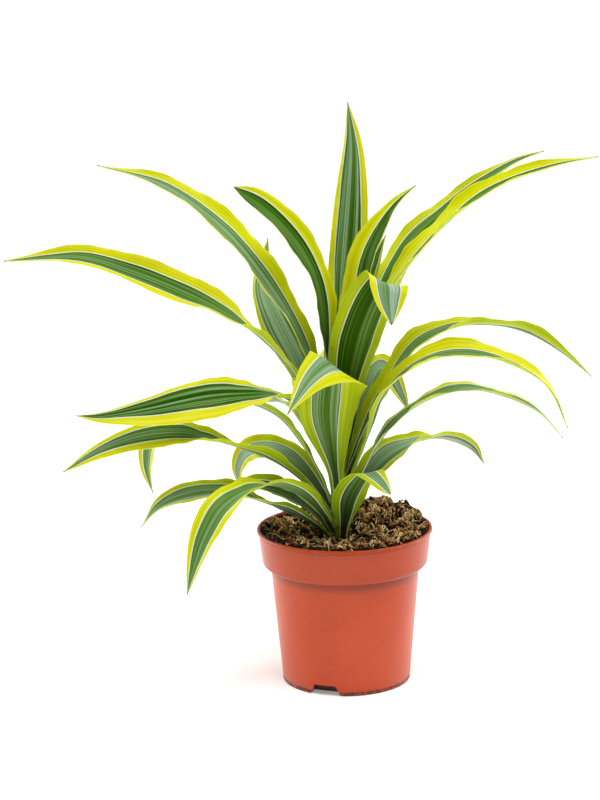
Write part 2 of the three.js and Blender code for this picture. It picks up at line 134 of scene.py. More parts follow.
def specks(node, place, spacing, missing):
    """A value that is -1 at the middle of a speck and rises away from it by one in a spacing.
    That share of the specks is missing."""
    cells = node("TexVoronoi", {"Vector": place, "Scale": 1 / spacing})
    chosen = {"Value": cells.node.outputs["Color"], "To Max": -1.0}
    chosen.update({"From Min": missing, "From Max": missing + 0.01})
    near = {0: cells, 1: node("MapRange", chosen)}
    return node("Math", near, operation="ADD")


# -------- leaf materials

# A blade's streaks: width and run in millimetres, and a shift that parts one pattern from another.
# The last one moves the border between centre and margin.
STREAKS = {"band": (3, 420, 0), "stripe": (0.9, 300, 7), "hair": (0.5, 90, 11), "wander": (40, 45, 3)}
# How much of the centre's tone each streak gives.
STREAK_SHARES = {"band": 0.36, "stripe": 0.38, "hair": 0.26}
BORDER_WANDER_MM = 1.8
CENTRE_PLACES = (0.38, 0.45, 0.52, 0.58, 0.68)
MARGIN_PLACES = (0.38, 0.5, 0.64)
MARK_SPACING_MM = 8
# What a blade's mesh says at each point: its place on the blade, or the leaf's own look.
BLADE_READS = "across across_mm along_mm to_tip_mm border_mm kind pale streaky ripe".split()


def living_leaf(name, centre, margin, cream, roughness):
    """A live dracaena blade: a waxy satin skin over veins that run its whole length. The dark
    green centre is streaked with grey green, and a cream line parts it from the lime margin."""
    material, node = new_material(name)
    read = {key: node("Attribute", attribute_name=key, out="Fac") for key in BLADE_READS}
    streak = {}
    for kind, (width_mm, run_mm, shift) in STREAKS.items():
        place = {
            "X": node("Math", {0: read["across_mm"], 1: width_mm}, operation="DIVIDE"),
            "Y": node("Math", {0: read["along_mm"], 1: run_mm}, operation="DIVIDE"),
            "Z": node("Math", {0: read["kind"], 1: shift}, operation="ADD"),
        }
        place = node("CombineXYZ", place)
        noisy = {"Vector": place, "Scale": 1.0, "Detail": 1.0, "Roughness": 0.6}
        streak[kind] = node("TexNoise", noisy)

    # Bands, stripes and hairs together choose a place on the centre's ramp of greens.
    mixed = -0.5
    for kind, share in STREAK_SHARES.items():
        mixed = node("Math", {0: streak[kind], 1: share, 2: mixed}, operation="MULTIPLY_ADD")
    tone = node("Math", {0: mixed, 1: read["streaky"], 2: read["pale"]}, operation="MULTIPLY_ADD")
    tone = node("Math", {0: tone, 1: 0.5}, operation="ADD")
    centre, margin = list(zip(CENTRE_PLACES, centre)), list(zip(MARGIN_PLACES, margin))
    green = node("ValToRGB", {"Fac": tone}, stops=centre)
    lime = node("ValToRGB", {"Fac": streak["stripe"]}, stops=margin)
    # The margins of unripe leaves are greener, and so are all near the root, where the green is painted
    # shade.
    unripe_and_shaded = node("MapRange", {"Value": read["ripe"], "To Min": 0.85, "To Max": 0.0})
    lime = {"Factor": unripe_and_shaded, 6: lime, 7: linear("#6E9400")}
    lime = node("Mix", lime, data_type="RGBA", out=2)

    # The border wanders a little along the blade.
    border = {0: streak["wander"], 1: BORDER_WANDER_MM, 2: read["border_mm"]}
    border = node("Math", border, operation="MULTIPLY_ADD")
    edge = node("Math", {0: read["across"]}, operation="ABSOLUTE")

    # Old feeding marks are sparse rust specks half a millimetre across.
    place = {"X": read["across_mm"], "Y": read["along_mm"], "Z": read["kind"]}
    mark = specks(node, node("CombineXYZ", place), MARK_SPACING_MM, 0.8)

    layers = [
        # Painted shade: near the root the blade is painted a near-black green, and further up on less ripe
        # leaves.
        (read["ripe"], 0.7, 0.1, 0.85, "#0E2E00"),
        (border, -0.7, 0.35, 0.5, "#254E0A"),
        (border, 0.4, 0.6, 0.9, cream),
        (border, 1.05, 1.3, 1.0, lime),
        # Painted highlight: a thin pale rim along the blade's edge, for light coming through the thin
        # margin.
        (edge, 0.95, 1.0, 0.15, "#E6EC9A"),
        (mark, -0.94, -0.965, 1.0, "#8C6A4C"),
        (read["to_tip_mm"], 3.0, 1.0, 1.0, "#6A5A2A"),
    ]
    veins = {"Strength": 0.35, "Distance": 0.15 * MM, "Height": tone}
    # Pale stripes are a little duller than dark ones.
    gloss = {"Value": streak["stripe"], "From Min": 0.3, "From Max": 0.7}
    gloss.update({"To Min": roughness - 0.05, "To Max": roughness + 0.06})
    skin = {
        "Base Color": covered(node, green, layers),
        "Roughness": node("MapRange", gloss),
        "Normal": node("Bump", veins),
        "IOR": 1.42,
        "Specular IOR Level": 0.22,
        "Specular Tint": (0.9, 1.0, 0.3, 1.0),
        "Subsurface Weight": 0.35,
        "Subsurface Radius": (0.8, 1.0, 0.2),
        "Subsurface Scale": 0.8 * MM,
    }
    node("OutputMaterial", {"Surface": node("BsdfPrincipled", skin)})
    return material


def leaf_materials():
    upper = living_leaf(
        "living_leaf_upper",
        centre=["#1C4800", "#386A04", "#60883A", "#7C9E74", "#A9C0AA"],
        margin=["#CCD000", "#DAD902", "#E4DC38"],
        cream="#EEF0DC",
        roughness=0.38,
    )
    # The under face is duller, and its margins a darker lime: partly its own duller skin, partly painted
    # shade of the face turned from the light.
    under = living_leaf(
        "living_leaf_under",
        centre=["#204A00", "#3E6A08", "#688A40", "#86A078", "#ACBCA6"],
        margin=["#A2B800", "#B6C804", "#C8D030"],
        cream="#E4E8CC",
        roughness=0.46,
    )
    return [upper, under]


# -------- pot, stem and mix materials

DIRT_SPACING_MM = 5.5


def satin_polypropylene():
    """Injection-moulded polypropylene in terracotta orange: satin, finely speckled, with dry mix
    left on it in specks and along the foot, and its rim scuffed pale. Painted shade darkens the
    collar, the foot's crease, the corners under the collar and lip, and the drain pockets."""
    material, node = new_material("satin_polypropylene")
    place = node("TexCoord", out="Object")
    height = node("SeparateXYZ", {"Vector": place}, out="Z")
    cloud = node("TexNoise", {"Vector": place, "Scale": 22.0, "Detail": 4.0})
    grain = node("TexNoise", {"Vector": place, "Scale": 900.0, "Detail": 2.0})
    scuff = node("TexNoise", {"Vector": place, "Scale": 260.0, "Detail": 3.0, "Roughness": 0.7})
    tone = node("ValToRGB", {"Fac": cloud}, stops=[(0.35, "#BC3E08"), (0.65, "#C6460C")])
    shade = node("ValToRGB", {"Fac": grain}, stops=[(0.32, 0.88), (0.5, 1.0), (0.7, 1.09)])
    speckled = {"Factor": 1.0, 6: tone, 7: shade}
    speckled = node("Mix", speckled, data_type="RGBA", blend_type="MULTIPLY", out=2)

    # Dirt is thick where the foot met the bench, and up into its crease.
    low = {"Value": height, "From Min": 6 * MM, "From Max": 0.5 * MM, "To Min": 0.0, "To Max": 0.34}
    low = node("MapRange", low)
    dirt = node("Math", {0: scuff, 1: low}, operation="ADD")
    rim = POT_HEIGHT * MM
    high = {"Value": height, "From Min": rim - 4 * MM, "From Max": rim - 0.5 * MM, "To Max": 0.16}
    high = node("MapRange", high)
    worn = node("Math", {0: scuff, 1: high}, operation="ADD")
    # Painted shade runs round it in dark lines: in the foot's crease, in the corner under the collar, and
    # under the lip.
    painted_shade_lines = []
    for at, start, full, share, colour in (
        (FOOT_BAND + CREASE["width"] / 3, 0.7, 0.25, 0.55, "#6A2E18"),
        (COLLAR_FOOT - 1, 6, 1, 0.6, "#64200A"),
        (POT_HEIGHT - LIP["height"] - 0.4, 1.1, 0.3, 0.5, "#6E2810"),
    ):
        off = node("Math", {0: height, 1: at * MM}, operation="SUBTRACT")
        off = node("Math", {0: off}, operation="ABSOLUTE")
        painted_shade_lines.append((off, start * MM, full * MM, share, colour))
    flat = node("VectorMath", {0: place, 1: (1, 1, 0)}, operation="MULTIPLY")
    pocket = node("VectorMath", {0: flat}, operation="LENGTH", out="Value")
    speck = specks(node, place, DIRT_SPACING_MM * MM, 0.74)
    layers = [
        (worn, 0.72, 0.82, 0.4, "#E09878"),
        # Painted shade: the collar is painted a little darker than the wall.
        (height, (COLLAR_FOOT + 1) * MM, (COLLAR_FOOT + 5) * MM, 0.45, "#A03606"),
        *painted_shade_lines,
        # Inside the foot's radius, in the drain pockets, it is painted dark brown: partly mix caught there,
        # partly painted shade.
        (pocket, (FOOT_RADIUS - 0.5) * MM, (FOOT_RADIUS - 1.7) * MM, 0.85, "#4A3826"),
        (dirt, 0.72, 0.80, 0.9, "#3E2C18"),
        (speck, -0.93, -0.955, 0.6, "#6A3A22"),
    ]
    gloss = {"Value": cloud, "To Min": 0.28, "To Max": 0.38}
    pits = {"Strength": 0.25, "Distance": 0.1 * MM, "Height": grain}
    skin = {
        "Base Color": covered(node, speckled, layers),
        "Roughness": node("MapRange", gloss),
        "Normal": node("Bump", pits),
        "IOR": 1.49,
        "Specular IOR Level": 0.4,
    }
    node("OutputMaterial", {"Surface": node("BsdfPrincipled", skin)})
    return material


def moist_peat(name, stops, scale_mm, roughness):
    """Moist peat: matt, near black to tan by a tone it reads, which paints its hollows darker and its clods
    and fibres lighter: painted shade and light.
    """
    material, node = new_material(name)
    place = node("TexCoord", out="Object")
    clumps = {"Vector": place, "Scale": 1 / (scale_mm * MM), "Detail": 5.0, "Roughness": 0.65}
    clumps = node("TexNoise", clumps)
    tone = node("Attribute", attribute_name="tone", out="Fac")
    tone = node("Math", {0: clumps, 1: tone}, operation="ADD")
    rough = {"Strength": 0.7, "Distance": 0.4 * MM, "Height": clumps}
    skin = {
        "Base Color": node("ValToRGB", {"Fac": tone}, stops=stops),
        "Roughness": roughness,
        "Normal": node("Bump", rough),
        "Specular IOR Level": 0.25,
    }
    node("OutputMaterial", {"Surface": node("BsdfPrincipled", skin)})
    return material


def green_stem_skin():
    """Young dracaena stem: smooth green skin, mottled in two greens."""
    material, node = new_material("green_stem_skin")
    place = node("TexCoord", out="Object")
    mottle = node("TexNoise", {"Vector": place, "Scale": 160.0, "Detail": 3.0})
    greens = [(0.35, "#3D5A1C"), (0.65, "#6E8A34")]
    colour = node("ValToRGB", {"Fac": mottle}, stops=greens)
    skin = {"Base Color": colour, "Roughness": 0.5, "IOR": 1.42}
    node("OutputMaterial", {"Surface": node("BsdfPrincipled", skin)})
    return material


def studio_paper():
    """Matt white background paper on a glowing table, so that shadows on it stay faint."""
    material, node = new_material("studio_paper")
    place = node("TexCoord", out="Object")
    tooth = node("TexNoise", {"Vector": place, "Scale": 300.0, "Detail": 2.0})
    whites = [(0.3, "#F4F4F3"), (0.7, "#F8F8F7")]
    skin = {
        "Base Color": node("ValToRGB", {"Fac": tooth}, stops=whites),
        "Roughness": 0.9,
        "Specular IOR Level": 0.2,
        "Emission Color": linear("#FFFFFF"),
        "Emission Strength": PAPER_GLOW,
    }
    node("OutputMaterial", {"Surface": node("BsdfPrincipled", skin)})
    return material


# -------- mesh helpers


def add_piece(name, verts, faces, materials, face_materials=None, attributes=None):
    """A smooth-shaded mesh object, with its vertices in metres and any point attributes."""
    mesh = bpy.data.meshes.new(name)
    mesh.from_pydata([tuple(v) for v in verts], [], faces)
    for material in materials:
        mesh.materials.append(material)
    if face_materials is not None:
        mesh.polygons.foreach_set("material_index", face_materials)
    for attribute, values in (attributes or {}).items():
        layer = mesh.attributes.new(attribute, "FLOAT", "POINT")
        layer.data.foreach_set("value", np.asarray(values, dtype=np.float32))
    mesh.shade_smooth()
    mesh.validate()
    return linked(name, mesh)


def smooth(t):
    t = np.clip(t, 0, 1)
    return t * t * (3 - 2 * t)


def lathe(profile_mm, sides):
    """Vertices and faces of a closed [radius, height] profile turned round +Z, axis to axis."""
    verts, faces, rings = [], [], []
    for radius, height in profile_mm:
        if radius < 1e-6:
            rings.append([len(verts)])
            verts.append((0, 0, height * MM))
            continue
        rings.append(list(range(len(verts), len(verts) + sides)))
        for k in range(sides):
            angle = 2 * pi * k / sides
            verts.append((radius * cos(angle) * MM, radius * sin(angle) * MM, height * MM))
    for low, high in zip(rings, rings[1:]):
        for k in range(sides):
            n = (k + 1) % sides
            if len(low) == 1:
                faces.append((low[0], high[n], high[k]))
            elif len(high) == 1:
                faces.append((low[k], low[n], high[0]))
            else:
                faces.append((low[k], low[n], high[n], high[k]))
    return verts, faces


# -------- leaves

STEM = {"x": -4, "y": 0, "collar": 96, "top": 194, "foot_radius": 6.2, "top_radius": 2.4}
SEAT = 0.3
BLADE_THICKNESS = 0.7
EDGE_THINNING = 0.55
ROOT_SHARE = 0.34
TIP_HALF = 0.25
SHEATH_SHARE = 0.3
SHEATH_ANGLE = 0.9
MARGIN_WAVE = {"height": 1.5, "length": 52, "phase": 2.4, "shift": 1.9, "fade": 0.7, "edge": 2.5}
MARGIN_CRIMP = {"height": 0.35, "length": 15, "phase": 1.7, "shift": 2.6, "fade": 1, "edge": 5}
MIDRIB_STEPS = 160
BLADE_COLUMNS = 14

# The shares of its length where a blade begins to widen and is widest, and its fullness towards
# the tip.
PLAIN = (0, 0.5, 2.2)
# One row for each leaf: name, greatest half width, azimuth and height of its root on the stem,
# gutter angle in degrees, how it widens, its midrib's points after the root, each with the blade's
# twist in degrees if it has any, and any folds: distance along the blade, slant and angle in
# degrees, and radius.
LEAVES = [
    ["leaf_top", 13.6, 92, 187, 40, PLAIN, [[-3, 12, 213], [1, 19, 256], [5, 26, 298], [8, 31, 337],
     [9, 35, 366], [6, 38, 394]]],
    ["leaf_upper_left", 11.5, 190, 181, 32, (0, 0.5, 7), [[-12, -3, 208, -20], [-11, -2, 245, -38],
     [-17, 3, 283, -50], [-31, 7, 308, -56], [-51, 9, 329, -58], [-71, 9, 342, -60]]],
    ["leaf_upper_right", 13.5, 5, 177, 42, PLAIN, [[6, -1, 214, 25], [10, 0, 252, 40], [15, 5, 288, 45],
     [24, 12, 309, 42], [36, 18, 326, 38], [51, 22, 339, 30]]],
    ["leaf_front_curl_high", 17.5, -84, 170, 32, (0, 0.5, 4), [[1, -9, 195], [5, -14, 222], [12, -18, 250],
     [22, -22, 273], [36, -26, 290], [52, -30, 304]], [116, -14, 150, 5]],
    ["leaf_long_upper_left", 13.5, 165, 166, 42, PLAIN, [[-16, 7, 205, -10], [-30, 14, 242, -20],
     [-53, 24, 279, -25], [-79, 36, 309, -25], [-120, 50, 337, -25], [-166, 58, 350, -20]]],
    ["leaf_behind_left", 14, 145, 151, 42, PLAIN, [[-18, 17, 190, -20], [-34, 31, 220, -30],
     [-46, 43, 242, -40], [-54, 53, 261, -30], [-54, 60, 280, -10], [-50, 64, 297]]],
    ["leaf_long_left", 13, 188, 157, 42, PLAIN, [[-18, -3, 182, 10], [-34, -7, 218, 15],
     [-54, -12, 242, 10], [-80, -17, 263, -20], [-107, -20, 278, -50], [-140, -24, 293, -50],
     [-172, -26, 303, -45], [-223, -28, 301, -40]]],
    ["leaf_mid_left", 15.5, 212, 136, 34, (0, 0.6, 1.3), [[-12, -8, 160, 15], [-21, -14, 184, 20],
     [-31, -17, 198, 10], [-45, -25, 206, -5], [-62, -34, 208, -25], [-92, -47, 208, -58],
     [-130, -57, 204, -78], [-160, -62, 202, -80], [-176, -64, 204, -75]]],
    ["leaf_mid_left_droop", 12.5, 172, 124, 42, (0, 0.5, 3), [[-16, 5, 141, 10], [-29, 13, 163, 10],
     [-47, 24, 181, 5], [-78, 38, 188, -10], [-112, 46, 182, -45], [-132, 49, 162, -80],
     [-137, 50, 141, -85], [-134, 50, 119, -85]]],
    ["leaf_mid_left_back", 10.5, 152, 143, 42, PLAIN, [[-15, 12, 154], [-27, 28, 171], [-40, 52, 181],
     [-57, 78, 179], [-73, 100, 168]]],
    ["leaf_low_left", 11.5, 188, 112, 40, PLAIN, [[-18, -13, 132, 20], [-35, -22, 152, 40],
     [-53, -31, 166, 48], [-77, -40, 177, 38], [-92, -43, 182, 14], [-108, -46, 186, -18],
     [-135, -51, 185, -42], [-160, -55, 178, -50], [-186, -58, 164, -50]]],
    ["leaf_left_loop", 10.5, 117, 115, 35, PLAIN, [[-15, 13, 128], [-27, 23, 142], [-41, 35, 151],
     [-55, 46, 152, -20], [-67, 54, 147, -55], [-74, 58, 135, -80], [-73, 57, 120, -80]]],
    ["leaf_lowest_left", 11.5, 215, 100, 40, PLAIN, [[-20, -9, 111, 10], [-37, -14, 122, 10],
     [-56, -19, 131, -10], [-80, -25, 140, -40], [-104, -30, 140, -50], [-124, -34, 133, -50],
     [-137, -36, 119, -30]]],
    ["leaf_low_left_back", 11, 165, 103, 42, PLAIN, [[-18, 1, 114], [-32, 3, 125], [-47, 4, 133],
     [-64, 6, 135], [-82, 8, 128], [-91, 10, 114]]],
    ["leaf_front_left_droop", 13, 238, 105, 36, PLAIN, [[-15, -18, 122], [-28, -30, 139, 5],
     [-45, -42, 149, 8], [-64, -55, 149, -18], [-81, -66, 141, -42], [-92, -76, 125, -50],
     [-99, -84, 107, -50], [-104, -90, 88, -40]]],
    ["leaf_front_curl", 23, -72, 107, 26, (0.2, 0.5, 1.8), [[-3, -12, 130], [-6, -17, 160], [-8, -24, 190],
     [-6, -31, 216], [-4, -38, 240], [-2, -45, 266], [1, -53, 295]], [116, 44, 95, 7], [132, -30, 65, 30]],
    ["leaf_front_curl_low", 13, -66, 101, 16, PLAIN, [[1, -14, 117], [4, -24, 134], [12, -33, 150],
     [23, -38, 162], [35, -42, 169]], [62, -20, 85, 4], [74, -30, 80, 10]],
    ["leaf_long_upper_right", 13, -4, 160, 42, PLAIN, [[7, 2, 186, 5], [13, 4, 223, 10], [27, 5, 258, 15],
     [46, 8, 288, 15], [69, 11, 313, 15], [98, 14, 336, 25], [137, 16, 351, 30], [173, 14, 358, 20]]],
    ["leaf_upper_right_back", 12, 42, 148, 42, PLAIN, [[8, 12, 185, 10], [17, 26, 228, 15],
     [31, 42, 264, 15], [48, 57, 292, 10], [71, 70, 311, 10], [97, 80, 330, 10], [121, 88, 343, 10],
     [142, 92, 350]]],
    ["leaf_right_arch_high", 13, 15, 143, 42, PLAIN, [[8, 3, 162, 12], [21, 8, 190, 20], [36, 14, 213, 15],
     [52, 19, 231, 10], [74, 25, 240, 4], [98, 28, 241, -14], [125, 30, 236, -28], [150, 31, 221, -30],
     [171, 31, 203, -25]]],
    ["leaf_right_arch_front", 12, -10, 134, 42, PLAIN, [[10, -6, 155, 5], [20, -12, 182, -3],
     [31, -21, 210], [55, -27, 230, 12], [81, -32, 236, 10], [109, -36, 230], [135, -40, 214, -12],
     [149, -44, 186, -14]]],
    ["leaf_right_arch_mid", 8.5, 0, 118, 42, PLAIN, [[8, -2, 136], [18, -3, 156], [34, -5, 180],
     [56, -7, 197], [84, -9, 205, -2], [110, -12, 200, -8], [132, -14, 189, -8], [148, -16, 172, -8]]],
    ["leaf_right_arch_low", 13.5, 40, 105, 40, PLAIN, [[7, 12, 123, 15], [18, 22, 139, 25],
     [32, 34, 150, 22], [52, 46, 155, -6], [73, 56, 154, -28], [89, 62, 146, -30], [99, 64, 133, -20]]],
    ["leaf_right_curl_back", 10, 48, 130, 30, PLAIN, [[9, 11, 158], [14, 22, 188, 20], [20, 30, 206, 50],
     [26, 35, 212, 75], [33, 38, 205, 90], [40, 40, 191, 95], [46, 40, 177, 90]]],
    ["leaf_inner_back", 9, 62, 166, 42, PLAIN, [[1, 13, 200, 10], [8, 21, 236, 15], [16, 28, 266, 15],
     [24, 33, 287, 15], [31, 37, 303, 10]]],
    ["leaf_back_high", 10.5, 110, 160, 42, PLAIN, [[-3, 18, 196], [0, 40, 234], [3, 68, 268],
     [4, 102, 288], [4, 138, 291], [5, 170, 278]]],
    ["leaf_back_right", 13, 80, 138, 42, PLAIN, [[-2, 24, 170], [1, 50, 200], [6, 82, 221], [10, 120, 224],
     [13, 154, 208], [14, 182, 180]]],
    ["leaf_back_left", 13, 95, 121, 42, PLAIN, [[-6, 22, 148], [-9, 46, 177], [-16, 80, 198],
     [-24, 116, 198], [-31, 150, 180], [-35, 172, 156]]],
    ["leaf_back_low", 12, 80, 108, 42, PLAIN, [[-3, 22, 132], [-4, 46, 152], [-6, 82, 167], [-7, 118, 162],
     [-8, 148, 142], [-8, 168, 112]]],
]

# How a leaf's pattern differs: how pale its centre is above and below, how much paler it gets
# towards one side, how strong its streaks are, how far the centre sits to one side at the root
# and at the tip, the share of a half blade that the centre takes, and how ripe the leaf is: the
# riper, the yellower its margins and the lighter its centre. Less ripeness also carries the
# painted shade near the root further up the blade.
USUAL_LOOK = (0, 0, 0, 0.9, 0, 0, 0.58, 0.75)
LEAF_LOOKS = {
    "leaf_top": (0.02, 0.02, 0.07, 1.35, -0.2, 0.2, 0.66, 1),
    "leaf_upper_left": (-0.05, 0, 0, 0.8, 0.27, 0.25, 0.7, 0.9),
    "leaf_upper_right": (-0.09, -0.05, 0.05, 0.9, -0.32, -0.32, 0.62, 0.9),
    "leaf_front_curl_high": (0.1, -0.06, -0.04, 0.8, 0, 0, 0.62, 0.85),
    "leaf_long_upper_left": (0.03, 0.03, 0, 0.8, 0.15, 0.25, 0.6, 1),
    "leaf_behind_left": (0.08, 0.08, 0, 1, 0, 0, 0.7, 0.8),
    "leaf_long_left": (0.02, 0.02, 0, 0.8, -0.1, 0.15, 0.5, 1),
    "leaf_mid_left": (-0.03, -0.03, 0, 1.2, 0, -0.35, 0.56, 1),
    "leaf_mid_left_droop": (0.02, 0.02, 0, 0.8, 0, 0, 0.55, 0.9),
    "leaf_mid_left_back": (0.03, 0.03, 0, 0.8, 0, 0, 0.55, 0.9),
    "leaf_low_left": (0.03, 0.03, 0, 0.8, -0.1, -0.15, 0.5, 0.95),
    "leaf_left_loop": (0.18, 0.2, 0, 0.7, 0, 0, 0.48, 1),
    "leaf_lowest_left": (0.08, 0.08, 0, 0.7, 0, 0, 0.62, 0.8),
    "leaf_low_left_back": (0.03, 0.03, 0, 0.7, 0, 0, 0.6, 0.7),
    "leaf_front_left_droop": (0.02, 0.02, 0, 0.55, 0, 0, 0.58, 0.9),
    "leaf_front_curl": (0.1, 0.03, 0, 0.8, -0.18, -0.18, 0.43, 0.85),
    "leaf_front_curl_low": (0.08, 0, 0, 0.9, -0.05, -0.05, 0.5, 0.7),
    "leaf_long_upper_right": (0, 0, 0, 0.9, -0.2, -0.2, 0.42, 1),
    "leaf_right_arch_high": (0.04, 0.02, 0, 0.9, -0.3, 0.3, 0.46, 0.95),
    "leaf_right_arch_front": (0.02, 0.02, 0, 0.9, -0.15, -0.15, 0.44, 1),
    "leaf_right_arch_mid": (0.08, 0.08, 0, 0.8, 0, 0, 0.78, 0.9),
    "leaf_right_curl_back": (0.11, 0.11, 0, 0.8, 0, 0, 0.55, 1),
    "leaf_right_arch_low": (0.11, 0.11, 0, 1.1, 0, 0, 0.58, 0.85),
}
# Over this length from its root a leaf ripens and comes out of the painted shade at the plant's core.
RIPE_AND_SHADE_RUN = 110
ROOT_RIPENESS_IN_SHADE = 0.1
# Where a blade is narrower than this half width, its border lines are drawn as on one this wide,
# so that the centre's green runs out to the tip.
TIP_PATTERN = 5.5
# How far apart two leaves lie in the streaks' noise.
KIND_STEP = 7.3


def stem_radius(height):
    t = np.clip((height - STEM["collar"]) / (STEM["top"] - STEM["collar"]), 0, 1)
    return STEM["foot_radius"] + (STEM["top_radius"] - STEM["foot_radius"]) * t


def curve_through(knots, steps):
    """Even steps by parameter on a centripetal Catmull-Rom curve through the knots."""
    knots = [2 * knots[0] - knots[1], *knots, 2 * knots[-1] - knots[-2]]
    spans = len(knots) - 3
    points = []
    for step in range(steps + 1):
        place = spans * step / steps
        i = min(int(place), spans - 1)
        w = place - i
        a, b, c, d = knots[i : i + 4]
        ab, bc, cd = (np.linalg.norm(q - p) ** 0.5 for p, q in ((a, b), (b, c), (c, d)))
        start = ((b - a) / ab - (c - a) / (ab + bc) + (c - b) / bc) * bc
        end = ((c - b) / bc - (d - b) / (bc + cd) + (d - c) / cd) * bc
        square = 3 * (c - b) - 2 * start - end
        cube = 2 * (b - c) + start + end
        points.append(b + start * w + square * w**2 + cube * w**3)
    return np.array(points)


def unit(vector):
    return vector / np.linalg.norm(vector)


def flip(vector, axis):
    """A vector mirrored in the plane across an axis."""
    return vector - 2 * (vector @ axis) / (axis @ axis) * axis


def carried_faces(points, tangents, first):
    """The first face direction carried along a curve without turning round it."""
    faces = [first]
    for i in range(1, len(points)):
        step = points[i] - points[i - 1]
        face = flip(faces[-1], step)
        rest = tangents[i] - flip(tangents[i - 1], step)
        if rest @ rest > 1e-12:
            face = flip(face, rest)
        faces.append(unit(face))
    return np.array(faces)


def midrib(azimuth, root_height, path):
    """Points, distances, face and side directions along a leaf's midrib, in millimetres."""
    out = np.array([cos(radians(azimuth)), sin(radians(azimuth)), 0.0])
    root_radius = stem_radius(root_height) + SEAT + BLADE_THICKNESS / 2
    root = np.array([STEM["x"], STEM["y"], root_height]) + out * root_radius
    knots = [root] + [np.array(point[:3], float) for point in path]
    twists = np.radians([0] + [[*point, 0][3] for point in path])
    points = curve_through(knots, MIDRIB_STEPS)
    reach = np.concatenate([[0], np.cumsum(np.linalg.norm(np.diff(points, axis=0), axis=1))])
    around = np.vstack([points[1:], points[-1:]]) - np.vstack([points[:1], points[:-1]])
    tangents = around / np.linalg.norm(around, axis=1)[:, None]
    first = unit(-out + (out @ tangents[0]) * tangents[0])
    carried = carried_faces(points, tangents, first)
    place = np.linspace(0, 1, len(points)) * (len(twists) - 1)
    knot = np.minimum(place.astype(int), len(twists) - 2)
    twist = twists[knot] + (twists[knot + 1] - twists[knot]) * smooth(place - knot)
    across = np.cross(tangents, carried)
    ahead, aside = np.cos(twist)[:, None], np.sin(twist)[:, None]
    return points, reach, carried * ahead + across * aside, across * ahead - carried * aside


def fold_over(upper, lower, reach, half_width, fold):
    """Both faces with the blade past a slanting line rolled over towards its under side."""
    at, slant, angle, radius = fold
    i = int(np.searchsorted(reach, at))
    mid = upper.shape[1] // 2
    start = (upper[i, mid] + lower[i, mid]) / 2
    along = unit(upper[i + 1, mid] - upper[i - 1, mid])
    face = upper[i, mid] - lower[i, mid]
    face = unit(face - (face @ along) * along)
    side = np.cross(along, face)
    slant = radians(slant)
    axis, beyond = side * cos(slant) + along * sin(slant), along * cos(slant) - side * sin(slant)
    near = reach[:, None] > at - half_width * abs(math.tan(slant))
    rolled = []
    for grid in (upper, lower):
        away = grid - start
        past, below = np.where(near, away @ beyond, 0), -(away @ face)
        turn = np.clip(past / radius, 0, radians(angle))
        rest, arm = past - radius * turn, radius - below
        ahead = arm * np.sin(turn) + rest * np.cos(turn)
        under = radius - arm * np.cos(turn) + rest * np.sin(turn)
        shift = (away @ axis)[..., None] * axis + ahead[..., None] * beyond - under[..., None] * face
        rolled.append(np.where(near[..., None], start + shift, grid))
    return rolled


def blade_grid(row, order):
    """Upper and lower grids of a blade's points in millimetres, and what its material reads."""
    name, half_width, azimuth, root_height, gutter, (neck, widest, fullness), path, *folds = row
    points, reach, face, side = midrib(azimuth, root_height, path)
    share, along = reach / reach[-1], reach[:, None]
    root_radius = stem_radius(root_height) + SEAT + BLADE_THICKNESS / 2
    root_share = min(ROOT_SHARE, SHEATH_ANGLE * root_radius / half_width)
    rise = smooth((share - neck) / (widest - neck))
    past = np.clip((share - widest) / (1 - widest), 0, 1)
    width = (root_share + (1 - root_share) * rise) * (1 - past**fullness)
    half = np.maximum(TIP_HALF, half_width * width)[:, None]
    root_angle = half_width * root_share / root_radius
    opened = smooth(share / SHEATH_SHARE)[:, None]
    edge_angle = root_angle + (radians(gutter) - root_angle) * opened
    q = np.linspace(-1, 1, BLADE_COLUMNS + 1)[None, :]
    angle = edge_angle * q
    radius = half / edge_angle

    def ripple(wave):
        turn = 2 * pi * along / wave["length"] + order * wave["phase"]
        turn = turn + np.where(q > 0, wave["shift"], 0)
        held = wave["height"] * np.sin(pi * share)[:, None] ** wave["fade"]
        return held * abs(q) ** wave["edge"] * np.sin(turn)

    raised = radius * (1 - np.cos(angle)) + ripple(MARGIN_WAVE) + ripple(MARGIN_CRIMP)
    sideways = radius * np.sin(angle)
    middle = points[:, None] + side[:, None] * sideways[..., None] + face[:, None] * raised[..., None]
    normal = face[:, None] * np.cos(angle)[..., None] - side[:, None] * np.sin(angle)[..., None]
    thick = BLADE_THICKNESS / 2 * (1 - EDGE_THINNING * q**4)
    upper = middle + normal * thick[..., None]
    lower = middle - normal * thick[..., None]
    for fold in folds:
        upper, lower = fold_over(upper, lower, reach, half_width, fold)
    look = LEAF_LOOKS.get(name, USUAL_LOOK)
    pale_above, pale_below, paler_side, streaky, root_lean, tip_lean, centre, ripe = look
    lean = root_lean + (tip_lean - root_lean) * share[:, None]
    grown_and_unshaded = ROOT_RIPENESS_IN_SHADE + (1 - ROOT_RIPENESS_IN_SHADE) * smooth(along / RIPE_AND_SHADE_RUN)
    reads = {
        "across": q,
        "across_mm": half_width * q,
        "along_mm": along,
        "to_tip_mm": reach[-1] - along,
        "border_mm": (abs(q + lean) - centre) * np.maximum(half, TIP_PATTERN),
        "kind": order * KIND_STEP,
        "pale": (pale_above + paler_side * q, pale_below + paler_side * q),
        "streaky": streaky,
        "ripe": ripe * grown_and_unshaded,
    }
    return upper, lower, reads


